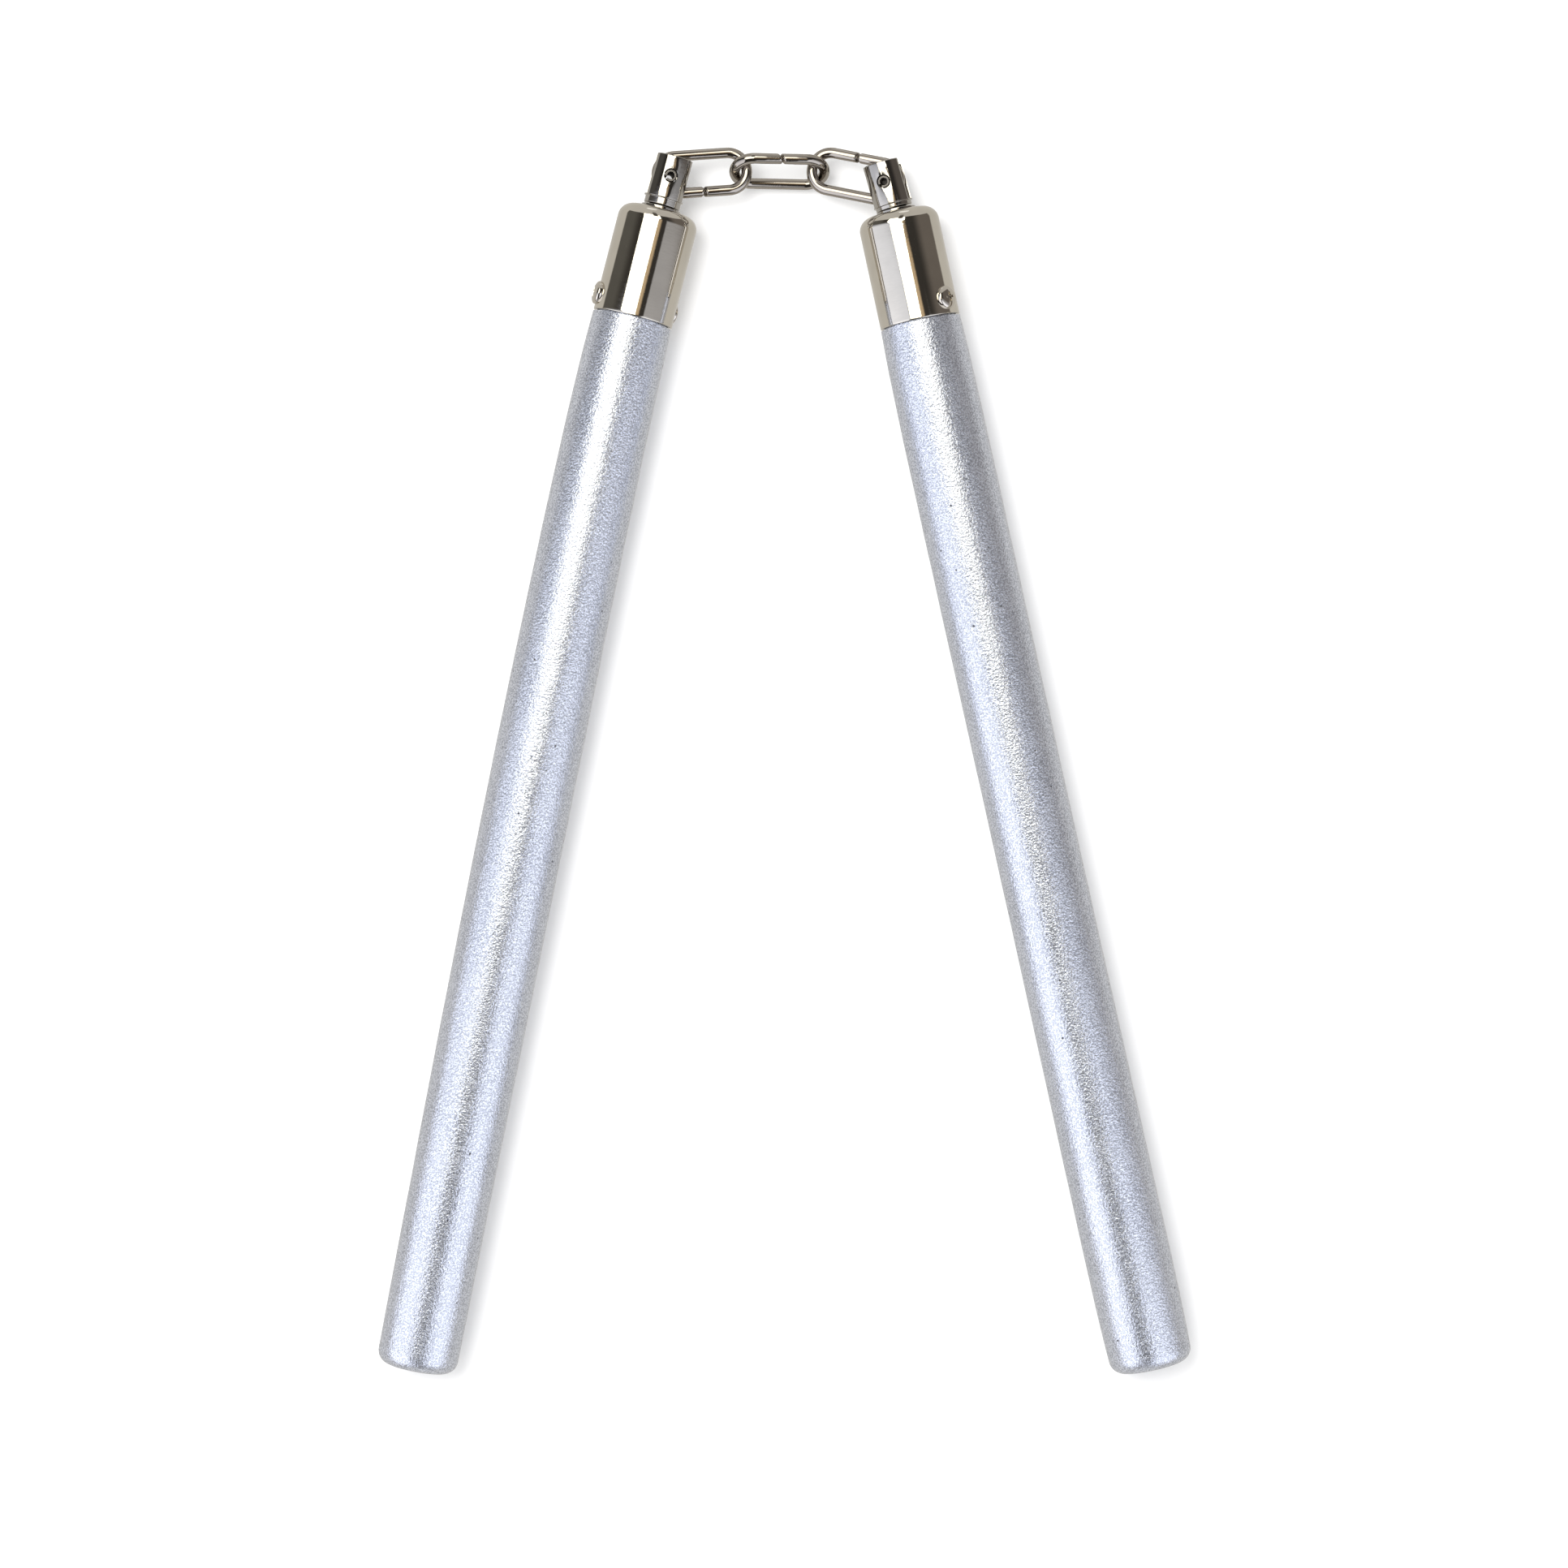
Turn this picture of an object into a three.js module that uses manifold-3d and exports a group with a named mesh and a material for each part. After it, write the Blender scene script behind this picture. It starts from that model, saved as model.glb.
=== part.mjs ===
// A pair of nunchaku: two turned wooden handles, each with a metal cap that holds a ball-bearing
// swivel, joined by three bent-wire chain links. They lie flat, opened into an upside-down V.
//
// Frame: millimetres, +Z up, +Y from the butts towards the chain, +X from the left handle to the right
// one. The origin is the bottom centre of the whole object's box.
//
// Each side is built in a frame of its own: its origin is the centre of the cap's rim, +Y runs out of
// the cap along its axis and +Z points up.

import * as THREE from "three";
import { mergeVertices } from "three/addons/utils/BufferGeometryUtils.js";
import Module from "manifold-3d";

const wasm = await Module();
wasm.setup();

// ---- driving dimensions, in millimetres and degrees ----

const gap = 0.3; // between pieces that touch on the real object

const handle = {
  length: 275,
  buttRound: 3.5,
  straight: 50, // how far below the rim the bow starts
  tenonRadius: 9.1,
  tenonLength: 17,
  tenonEdge: 0.8,
};
const cap = { radius: 10.35, length: 29.1, wall: 0.95, topWall: 1.6, shoulder: 3.5, rimEdge: 0.3 };
const screw = {
  height: 4.4, // of its axis above the rim
  headRadius: 3,
  headEdge: 0.3, // straight part of the head, under the dome
  dome: 1.1,
  shankRadius: 1.4,
  tip: 3, // distance of the tip from the cap's axis
  point: 1.6, // length of the point
  recess: 2.4,
  recessWidth: 0.6,
  recessDepth: 0.7,
};
const shaft = { radius: 3, end: 18.5, clearance: 0.4, edge: 0.4 };
const washer = { radius: 5.1, thickness: 0.65, seat: 0.1 };
const yoke = {
  radius: 5.1,
  neckRadius: 4.7,
  floor: 0.3, // the slot's floor, above the bottom of the body
  pinHeight: 5.9, // above the bottom of the body
  height: 11.1,
  edge: 0.4,
  slot: 4.3,
};
const pin = { radius: 1.5, bore: 0.95, slit: 0.5, length: 9.4, slitAngle: 215 };
const wire = { radius: 1.43 };
const link = { straight: 13.6, bend: 4.85, seam: 0.3 };
const race = { outer: 7.4, inner: 3.3, thickness: 1.2, groove: 0.45, grooveWidth: 2, play: 0.55 };
const ball = { radius: 1.5, pitch: 5.4, count: 8, running: 0.1 };
const nut = { acrossFlats: 9, thickness: 3 };

// How many facets go round each kind of piece, and how many steps its curves are cut into.
const facets = { handle: 32, cap: 32, yoke: 24, ring: 24, screw: 16, drill: 16, pinHole: 20, wire: 10 };
const steps = { girth: 11, butt: 3, shoulder: 6, innerShoulder: 4, dome: 3, pin: 9, link: 36 };

// From the cap's top inwards: upper race, balls, lower race, nut.
const capInnerTop = cap.length - cap.topWall;
const upperRaceTop = capInnerTop - race.play;
const upperRaceBottom = upperRaceTop - race.thickness;
const ballHeight = upperRaceBottom + race.groove - ball.running - ball.radius;
const lowerRaceTop = ballHeight - ball.radius - ball.running + race.groove;
const lowerRaceBottom = lowerRaceTop - race.thickness;
const nutTop = lowerRaceBottom - gap;

// Each side's place, lean and small differences. girth lists the handle's diameter at depths below the
// rim, and drift is how far the butt's centre lies off the cap's axis. swivelTilt, swivelShift and lift
// are the yoke's lean, sideways and end play in the cap. screws lists how far round the cap each screw
// is from the top, positive to the right. pinSlack is where the centre of the end link's
// round end lies from the pin, along and across the link, swing is the link's turn about the pin and
// linkRoll its lean in the slot.
const sides = {
  left: {
    rim: [-39.05, 119.3],
    lean: -14.4,
    drift: 13.1,
    girth: [[0, 20.7], [20, 21.4], [70, 21.9], [120, 22.2], [185, 21.8], [240, 21.1], [271, 20.8]],
    screws: [-75, 124],
    swivelTilt: -1.0,
    swivelShift: 0,
    lift: 2.95,
    yokeSpin: 6,
    swing: 19.9,
    pinSlack: [1.6, 0.5],
    linkRoll: -5,
    seamSide: -1,
  },
  right: {
    rim: [35.1, 118.5],
    lean: 12.2,
    drift: 1.6,
    girth: [[0, 20.8], [20, 21.6], [70, 21.7], [150, 21.6], [235, 22.0], [262, 21.8], [271, 21.4]],
    screws: [46, 226],
    swivelTilt: 3.6,
    swivelShift: -0.25,
    lift: 2.15,
    yokeSpin: -13,
    swing: 152.1,
    pinSlack: [1.65, 0],
    linkRoll: 5.5,
    seamSide: -1,
  },
};

// The middle link hangs on the two end links, turned about its own length and lower at its right end.
const middleLink = { place: [-1.15, 157.9, -2.8], yaw: -0.4, pitch: 6.6, roll: 56, seamSide: 1 };

// ---- materials ----

const paint = new THREE.MeshStandardMaterial({ color: 0xb9bccb, roughness: 0.4, metalness: 0.7 });
const nickel = new THREE.MeshStandardMaterial({ color: 0xd6d2ca, roughness: 0.1, metalness: 1 });
const steel = new THREE.MeshStandardMaterial({ color: 0xa8a9ac, roughness: 0.3, metalness: 1 });

// ---- solids ----

const degrees = THREE.MathUtils.degToRad;

// A closed geometry as a solid that can be joined and cut.
function solid(geometry, matrix = new THREE.Matrix4()) {
  const bare = geometry.index ? geometry.toNonIndexed() : geometry.clone();
  bare.deleteAttribute("normal");
  bare.deleteAttribute("uv");
  bare.applyMatrix4(matrix);
  const merged = mergeVertices(bare, 1e-4);
  return new wasm.Manifold(
    new wasm.Mesh({
      numProp: 3,
      vertProperties: new Float32Array(merged.attributes.position.array),
      triVerts: new Uint32Array(merged.index.array),
    }),
  );
}

// A solid back as a geometry.
function surface(body) {
  const mesh = body.getMesh();
  const geometry = new THREE.BufferGeometry();
  geometry.setAttribute("position", new THREE.BufferAttribute(mesh.vertProperties, 3));
  geometry.setIndex(new THREE.BufferAttribute(mesh.triVerts, 1));
  geometry.computeVertexNormals();
  return geometry;
}

// A named piece.
function piece(name, geometry, material) {
  const mesh = new THREE.Mesh(geometry, material);
  mesh.name = name;
  return mesh;
}

// A turned solid about the Y axis from [radius, height] pairs.
function turned(profile, segments) {
  const points = profile.map(([radius, height]) => new THREE.Vector2(radius, height));
  return new THREE.LatheGeometry(points, segments);
}

// A quarter circle as [radius, height] pairs about a centre, from one angle to another.
function arc(centre, radius, from, to, steps) {
  return Array.from({ length: steps + 1 }, (_, i) => {
    const angle = degrees(from + ((to - from) * i) / steps);
    return [centre[0] + radius * Math.cos(angle), centre[1] + radius * Math.sin(angle)];
  });
}

// ---- handle ----

// The handle's centre line below the rim: straight on from the cap, then drifting to one side.
function centreLine(side) {
  return new THREE.QuadraticBezierCurve3(
    new THREE.Vector3(0, 0, 0),
    new THREE.Vector3(0, -handle.straight, 0),
    new THREE.Vector3(side.drift, -handle.length, 0),
  );
}

// Moves each point of a straight handle onto the bowed centre line.
function bow(geometry, side) {
  const line = centreLine(side);
  const position = geometry.attributes.position;
  for (let i = 0; i < position.count; i += 1) {
    const depth = -position.getY(i);
    if (depth <= 0) continue;
    const along = Math.min(depth / handle.length, 1);
    const centre = line.getPointAt(along);
    const tangent = line.getTangentAt(along);
    const x = position.getX(i);
    position.setXY(i, centre.x - tangent.y * x, centre.y + tangent.x * x);
  }
  return geometry;
}

// A screw's place in the side's frame: its own +Y points straight out of the cap.
function screwMatrix(angle) {
  return new THREE.Matrix4()
    .makeTranslation(0, screw.height, 0)
    .multiply(new THREE.Matrix4().makeRotationY(degrees(angle)))
    .multiply(new THREE.Matrix4().makeRotationX(Math.PI / 2));
}

// A straight drill along a screw's axis, from one distance from the cap's axis to another.
function drill(radius, from, to, matrix) {
  const cylinder = new THREE.CylinderGeometry(radius, radius, to - from, facets.drill);
  cylinder.translate(0, (from + to) / 2, 0);
  return solid(cylinder, matrix);
}

function makeHandle(name, side) {
  const belly = new THREE.SplineCurve(
    side.girth.map(([depth, diameter]) => new THREE.Vector2(diameter / 2, -depth)),
  );
  const body = belly.getPoints(steps.girth).map((point) => [point.x, point.y]);
  const edge = body[body.length - 1][0];
  const round = handle.buttRound;
  const centre = [edge - round, round - handle.length];
  const profile = [
    [0, -handle.length],
    ...arc(centre, round, -90, 0, steps.butt),
    ...body.slice(0, -1).reverse(),
    [handle.tenonRadius, 0],
    [handle.tenonRadius, handle.tenonLength - handle.tenonEdge],
    [handle.tenonRadius - handle.tenonEdge, handle.tenonLength],
    [0, handle.tenonLength],
  ];
  // A facet of the turned body points straight down, so that the handle rests on a narrow flat.
  const turning = turned(profile, facets.handle);
  turning.rotateY(Math.PI / facets.handle);
  let wood = solid(bow(turning, side));
  for (const angle of side.screws) {
    const hole = drill(screw.shankRadius + gap, screw.tip - gap, cap.radius, screwMatrix(angle));
    wood = wood.subtract(hole);
  }
  return piece(name, surface(wood), paint);
}

// ---- cap and its screws ----

function makeCap(name, side) {
  const inner = cap.radius - cap.wall;
  const innerShoulder = cap.shoulder - cap.wall;
  const shoulder = [cap.radius - cap.shoulder, cap.length - cap.shoulder];
  const inside = [inner - innerShoulder, capInnerTop - innerShoulder];
  const hole = shaft.radius + shaft.clearance;
  const profile = [
    [inner, gap],
    [cap.radius - cap.rimEdge, gap],
    [cap.radius, gap + cap.rimEdge],
    ...arc(shoulder, cap.shoulder, 0, 90, steps.shoulder),
    [hole, cap.length],
    [hole, capInnerTop],
    ...arc(inside, innerShoulder, 90, 0, steps.innerShoulder),
    [inner, gap],
  ];
  let shell = solid(turned(profile, facets.cap));
  for (const angle of side.screws) {
    const bite = drill(screw.shankRadius + gap, inner - cap.wall, cap.radius + cap.wall, screwMatrix(angle));
    shell = shell.subtract(bite);
  }
  return piece(name, surface(shell), nickel);
}

function makeScrew(name, angle) {
  const seat = cap.radius + gap;
  // The dome is a quarter of an ellipse, drawn as a quarter circle and flattened.
  const dome = arc([0, 0], screw.headRadius, 0, 90, steps.dome).map(([radius, rise]) => [
    radius,
    seat + screw.headEdge + (rise / screw.headRadius) * (screw.dome - screw.headEdge),
  ]);
  const body = turned(
    [
      [0, screw.tip],
      [screw.shankRadius, screw.tip + screw.point],
      [screw.shankRadius, seat],
      [screw.headRadius, seat],
      ...dome,
    ],
    facets.screw,
  );
  let head = solid(body);
  for (const [width, depth] of [[screw.recess, screw.recessWidth], [screw.recessWidth, screw.recess]]) {
    const slot = new THREE.BoxGeometry(width, 2 * screw.recessDepth, depth);
    slot.translate(0, seat + screw.dome, 0);
    head = head.subtract(solid(slot));
  }
  const mesh = piece(name, surface(head), nickel);
  mesh.applyMatrix4(screwMatrix(angle));
  return mesh;
}

// ---- swivel ----

// The yoke's own frame: origin at the bottom of its slotted body, +Y along the shaft, the pin along Z.
// The neck reaches down to just above the washer. shaftEnd is how far below the origin the shaft ends.
function makeYoke(name, side, shaftEnd) {
  const neck = side.lift - washer.seat - washer.thickness - gap;
  const body = turned(
    [
      [0, -shaftEnd],
      [shaft.radius - shaft.edge, -shaftEnd],
      [shaft.radius, shaft.edge - shaftEnd],
      [shaft.radius, -neck],
      [yoke.neckRadius, -neck],
      [yoke.neckRadius, 0],
      [yoke.radius, 0],
      [yoke.radius, yoke.height - yoke.edge],
      [yoke.radius - yoke.edge, yoke.height],
      [0, yoke.height],
    ],
    facets.yoke,
  );
  const slot = new THREE.BoxGeometry(4 * yoke.radius, 2 * yoke.height, yoke.slot);
  slot.translate(0, yoke.floor + yoke.height, 0);
  const boreRadius = pin.radius + gap;
  const bore = new THREE.CylinderGeometry(boreRadius, boreRadius, 4 * yoke.radius, facets.pinHole);
  bore.rotateX(Math.PI / 2);
  bore.translate(0, yoke.pinHeight, 0);
  return piece(name, surface(solid(body).subtract(solid(slot)).subtract(solid(bore))), nickel);
}

// A rolled spring pin: a C-shaped section with a slit along its length.
function makePin(name) {
  const opening = Math.asin(pin.slit / 2 / pin.bore);
  const start = degrees(pin.slitAngle) + opening;
  const end = degrees(pin.slitAngle) - opening + 2 * Math.PI;
  const section = new THREE.Shape();
  section.absarc(0, 0, pin.radius, start, end, false);
  section.absarc(0, 0, pin.bore, end, start, true);
  const tube = new THREE.ExtrudeGeometry(section, {
    depth: pin.length,
    bevelEnabled: false,
    curveSegments: steps.pin,
  });
  tube.translate(0, yoke.pinHeight, -pin.length / 2);
  return piece(name, surface(solid(tube)), steel);
}

function makeWasher(name) {
  const bottom = cap.length + washer.seat;
  const inner = shaft.radius + shaft.clearance;
  const ring = turned(
    [
      [inner, bottom],
      [washer.radius, bottom],
      [washer.radius, bottom + washer.thickness],
      [inner, bottom + washer.thickness],
      [inner, bottom],
    ],
    facets.ring,
  );
  return piece(name, surface(solid(ring)), nickel);
}

// A race with a shallow groove for the balls. facing is -1 where the groove is in its underside.
function makeRace(name, grooveFace, facing) {
  const back = grooveFace - facing * race.thickness;
  const bed = grooveFace - facing * race.groove;
  const half = race.grooveWidth / 2;
  const profile = [
    [race.inner, back],
    [race.outer, back],
    [race.outer, grooveFace],
    [ball.pitch + half, grooveFace],
    [ball.pitch + half / 2, bed],
    [ball.pitch - half / 2, bed],
    [ball.pitch - half, grooveFace],
    [race.inner, grooveFace],
    [race.inner, back],
  ];
  // The outline runs anticlockwise, so that the faces point out.
  if (facing < 0) profile.reverse();
  return piece(name, surface(solid(turned(profile, facets.ring))), steel);
}

function makeBall(name, angle) {
  const mesh = piece(name, new THREE.IcosahedronGeometry(ball.radius, 1), steel);
  mesh.position.set(ball.pitch * Math.cos(angle), ballHeight, ball.pitch * Math.sin(angle));
  return mesh;
}

function makeNut(name, top) {
  const radius = nut.acrossFlats / 2 / Math.cos(Math.PI / 6);
  const hexagon = new THREE.CylinderGeometry(radius, radius, nut.thickness, 6);
  const thread = new THREE.CylinderGeometry(race.inner, race.inner, 2 * nut.thickness, facets.ring);
  const mesh = piece(name, surface(solid(hexagon).subtract(solid(thread))), steel);
  mesh.position.y = top - nut.thickness / 2;
  return mesh;
}

// ---- chain ----

// The wire's centre line round one link, in the XY plane and long in X. It starts and ends at the seam,
// in the middle of the arm on the side that seamSide names.
class LinkLine extends THREE.Curve {
  constructor(seamSide) {
    super();
    this.seamSide = seamSide;
  }

  getPoint(t, target = new THREE.Vector3()) {
    const { straight, bend, seam } = link;
    const round = Math.PI * bend;
    const whole = 2 * (straight + round);
    let along = seam / 2 + t * (whole - seam);
    let turn = 1;
    if (along > whole / 2) {
      along -= whole / 2;
      turn = -1;
    }
    // along runs from the middle of one arm, round one end, to the middle of the other arm
    let x = along;
    let y = -bend;
    if (along > straight / 2 + round) {
      x = straight + round - along;
      y = bend;
    } else if (along > straight / 2) {
      const angle = (along - straight / 2) / bend;
      x = straight / 2 + bend * Math.sin(angle);
      y = -bend * Math.cos(angle);
    }
    return target.set(turn * x, -this.seamSide * turn * y, 0);
  }
}

function makeLink(name, seamSide) {
  const section = new THREE.Shape();
  section.absarc(0, 0, wire.radius, 0, 2 * Math.PI, false);
  const geometry = new THREE.ExtrudeGeometry(section, {
    extrudePath: new LinkLine(seamSide),
    steps: steps.link,
    curveSegments: facets.wire / 2,
    bevelEnabled: false,
  });
  return piece(name, surface(solid(geometry)), nickel);
}

// ---- assembly ----

function makeSide(name, side) {
  const group = new THREE.Group();
  group.position.set(side.rim[0], side.rim[1], 0);
  group.rotation.z = degrees(side.lean);
  group.add(makeHandle(`${name}_handle`, side));
  group.add(makeCap(`${name}_cap`, side));
  side.screws.forEach((angle, i) => group.add(makeScrew(`${name}_cap_screw_${i + 1}`, angle)));
  group.add(makeWasher(`${name}_yoke_washer`));

  // Everything on the swivel's axis, which passes through the hole in the cap's top.
  const swivel = new THREE.Group();
  swivel.position.set(side.swivelShift, cap.length, 0);
  swivel.rotation.z = degrees(side.swivelTilt);
  group.add(swivel);
  const bearing = new THREE.Group();
  bearing.position.y = -cap.length;
  swivel.add(bearing);
  bearing.add(makeRace(`${name}_upper_race`, upperRaceBottom, -1));
  for (let i = 0; i < ball.count; i += 1) {
    bearing.add(makeBall(`${name}_bearing_ball_${i + 1}`, (2 * Math.PI * i) / ball.count));
  }

  // The yoke and what is fixed to its shaft move in and out together in the end play.
  const drop = sides.left.lift - side.lift;
  const moving = new THREE.Group();
  moving.position.y = side.lift;
  moving.rotation.y = degrees(side.yokeSpin);
  swivel.add(moving);
  moving.add(makeYoke(`${name}_swivel_yoke`, side, cap.length + sides.left.lift - shaft.end));
  moving.add(makePin(`${name}_yoke_pin`));
  const lowerRace = makeRace(`${name}_lower_race`, lowerRaceTop, 1);
  lowerRace.position.y = -drop;
  bearing.add(lowerRace);
  bearing.add(makeNut(`${name}_lock_nut`, nutTop - drop));

  // The end link hangs on the pin. Its round end is centred a little off the pin, by the slack.
  const hanging = new THREE.Group();
  hanging.position.y = yoke.pinHeight;
  hanging.rotation.z = degrees(side.swing);
  moving.add(hanging);
  const endLink = makeLink(`${name}_end_link`, side.seamSide);
  endLink.position.set(side.pinSlack[0] + link.straight / 2, side.pinSlack[1], 0);
  endLink.rotation.x = degrees(side.linkRoll);
  hanging.add(endLink);
  return group;
}

const nunchaku = new THREE.Group();
nunchaku.name = "nunchaku";
for (const [name, side] of Object.entries(sides)) {
  nunchaku.add(makeSide(name, side));
}

const middle = makeLink("middle_link", middleLink.seamSide);
middle.position.set(...middleLink.place);
middle.rotation.set(degrees(middleLink.roll), degrees(middleLink.pitch), degrees(middleLink.yaw), "ZYX");
nunchaku.add(middle);

// The origin goes to the bottom centre of the whole object's box.
nunchaku.updateMatrixWorld(true);
const box = new THREE.Box3().setFromObject(nunchaku, true);
const centre = box.getCenter(new THREE.Vector3());
nunchaku.position.set(-centre.x, -centre.y, -box.min.z);
nunchaku.updateMatrixWorld(true);

export default nunchaku;
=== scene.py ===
"""The looks of a pair of nunchaku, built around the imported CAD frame.

Every visible piece is rebuilt here as a fine mesh over its CAD node: turned and painted handles, drawn
caps, screws, yokes, spring pins and bent-wire links. Lengths are in millimetres until a mesh is made,
and angles in degrees. A side's own frame has its origin in the centre of the cap's rim, +Y along the
cap's axis and out of it, and +Z up.
"""

import math

import bmesh
import bpy
from mathutils import Matrix, Vector, noise


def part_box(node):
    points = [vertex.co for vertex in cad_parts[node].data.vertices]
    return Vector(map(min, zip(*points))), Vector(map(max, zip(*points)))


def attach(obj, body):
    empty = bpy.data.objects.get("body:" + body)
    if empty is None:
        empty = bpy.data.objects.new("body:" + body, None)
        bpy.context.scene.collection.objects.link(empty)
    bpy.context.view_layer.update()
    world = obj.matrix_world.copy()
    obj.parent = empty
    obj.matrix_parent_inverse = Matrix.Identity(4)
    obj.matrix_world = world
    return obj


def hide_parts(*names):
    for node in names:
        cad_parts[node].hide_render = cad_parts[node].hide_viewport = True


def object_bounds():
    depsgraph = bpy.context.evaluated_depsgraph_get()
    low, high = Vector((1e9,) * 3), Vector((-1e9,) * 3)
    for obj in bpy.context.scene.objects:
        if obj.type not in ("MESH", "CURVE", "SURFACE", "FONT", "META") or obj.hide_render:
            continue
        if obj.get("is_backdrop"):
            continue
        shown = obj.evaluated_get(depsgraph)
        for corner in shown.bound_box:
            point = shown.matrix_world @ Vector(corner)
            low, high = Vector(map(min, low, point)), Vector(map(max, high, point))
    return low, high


MM = 0.001
OWN_PLACE = "own_place"

# ---- dimensions ----
# They are the CAD part's, apart from those with a comment, and apart from the edges, rims, SCREW_SUNK
# and RECESS_CUT, which are set for looks.

GAP = 0.3
HANDLE_LENGTH = 275
HANDLE_STRAIGHT = 50
BUTT_ROUND = 3.6  # 0.1 more than in the CAD
TENON_RADIUS = 9.1
TENON_LENGTH = 17
CAP_RADIUS = 10.35
CAP_LENGTH = 29.1
CAP_WALL = 0.95
CAP_TOP_WALL = 1.6
CAP_SHOULDER = 3.5
CAP_RIM_EDGE = 0.3
CAP_RIM_TOP = 0.9
CAP_FLANK_START = 2
CAP_HOLE_EDGE = 0.2
SCREW_HEIGHT = 4.4
SCREW_HEAD_RADIUS = 3
SCREW_DOME = 1.1
SCREW_SHANK_RADIUS = 1.4
SCREW_TIP = 3
SCREW_CONE = 1.6
SCREW_SUNK = 0.45  # how far the head's underside lies inside the cap's radius
SCREW_RIM = 0.1
SCREW_EDGE = 0.06
RECESS_SPAN = 2.4
RECESS_WIDTH = 0.6
RECESS_CUT = 1.6  # height of the cutting block, half of it above the head
SHAFT_RADIUS = 3
SHAFT_END = 18.5
SHAFT_CLEARANCE = 0.4
WASHER_RADIUS = 5.1
WASHER_SEAT = 0.1
WASHER_THICKNESS = 0.65
WASHER_EDGE = 0.15
WASHER_BOTTOM = CAP_LENGTH + WASHER_SEAT
WASHER_TOP = WASHER_BOTTOM + WASHER_THICKNESS
YOKE_RADIUS = 5.1
YOKE_NECK_RADIUS = 4.7
YOKE_HEIGHT = 11.1
YOKE_EDGE = 0.3
YOKE_CUT_EDGE = 0.16
SLOT_FLOOR = 0.3
SLOT_WIDTH = 4.3
PIN_HEIGHT = 5.9
PIN_RADIUS = 1.5
PIN_BORE = 0.95
PIN_LENGTH = 9.4
PIN_SLIT = 0.5
PIN_SLIT_ANGLE = 215
PIN_EDGE = 0.1
WIRE_RADIUS = 1.39  # 0.04 less than in the CAD, so that the links stay clear at their limits
LINK_STRAIGHT = 13.6
LINK_BEND = 4.85
LINK_SEAM = 0.12  # a narrower gap than in the CAD
BALL_COUNT = 8
BALL_HEIGHT = 24.6

# lean is the handle's turn on the table, and drift how far its butt lies off the cap's axis. girth has
# pairs of a depth below the rim and the diameter there. screws are angles round the cap from its top.
# tilt, shift and lift place the yoke on the cap, and spin turns it. swing, slack and roll place the end
# link on the pin.
SIDES = {
    "left": {
        "lean": -14.4,
        "drift": 13.1,
        "girth": [(0, 20.7), (20, 21.4), (70, 21.9), (120, 22.2), (185, 21.8), (240, 21.1), (271, 20.8)],
        "screws": (-75, 124),
        "tilt": -1.0,
        "shift": 0,
        "lift": 2.95,
        "spin": 6,
        "swing": 19.9,
        "slack": (1.6, 0.5),
        "roll": -5,
    },
    "right": {
        "lean": 12.2,
        "drift": 1.6,
        "girth": [(0, 20.8), (20, 21.6), (70, 21.7), (150, 21.6), (235, 22.0), (262, 21.8), (271, 21.4)],
        "screws": (46, 226),
        "tilt": 3.6,
        "shift": -0.25,
        "lift": 2.15,
        "spin": -13,
        "swing": 152.1,
        "slack": (1.65, 0),
        "roll": 5.5,
    },
}
MIDDLE_YAW, MIDDLE_PITCH, MIDDLE_ROLL = -0.4, 6.6, 56


def turn(angle, axis):
    return Matrix.Rotation(math.radians(angle), 4, axis)


def move(x, y, z=0):
    return Matrix.Translation((x, y, z))


# ---- shader nodes ----


# the places of the colour sockets on the mix node
COLOR_A, COLOR_B, COLOR_RESULT = 6, 7, 2


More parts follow.
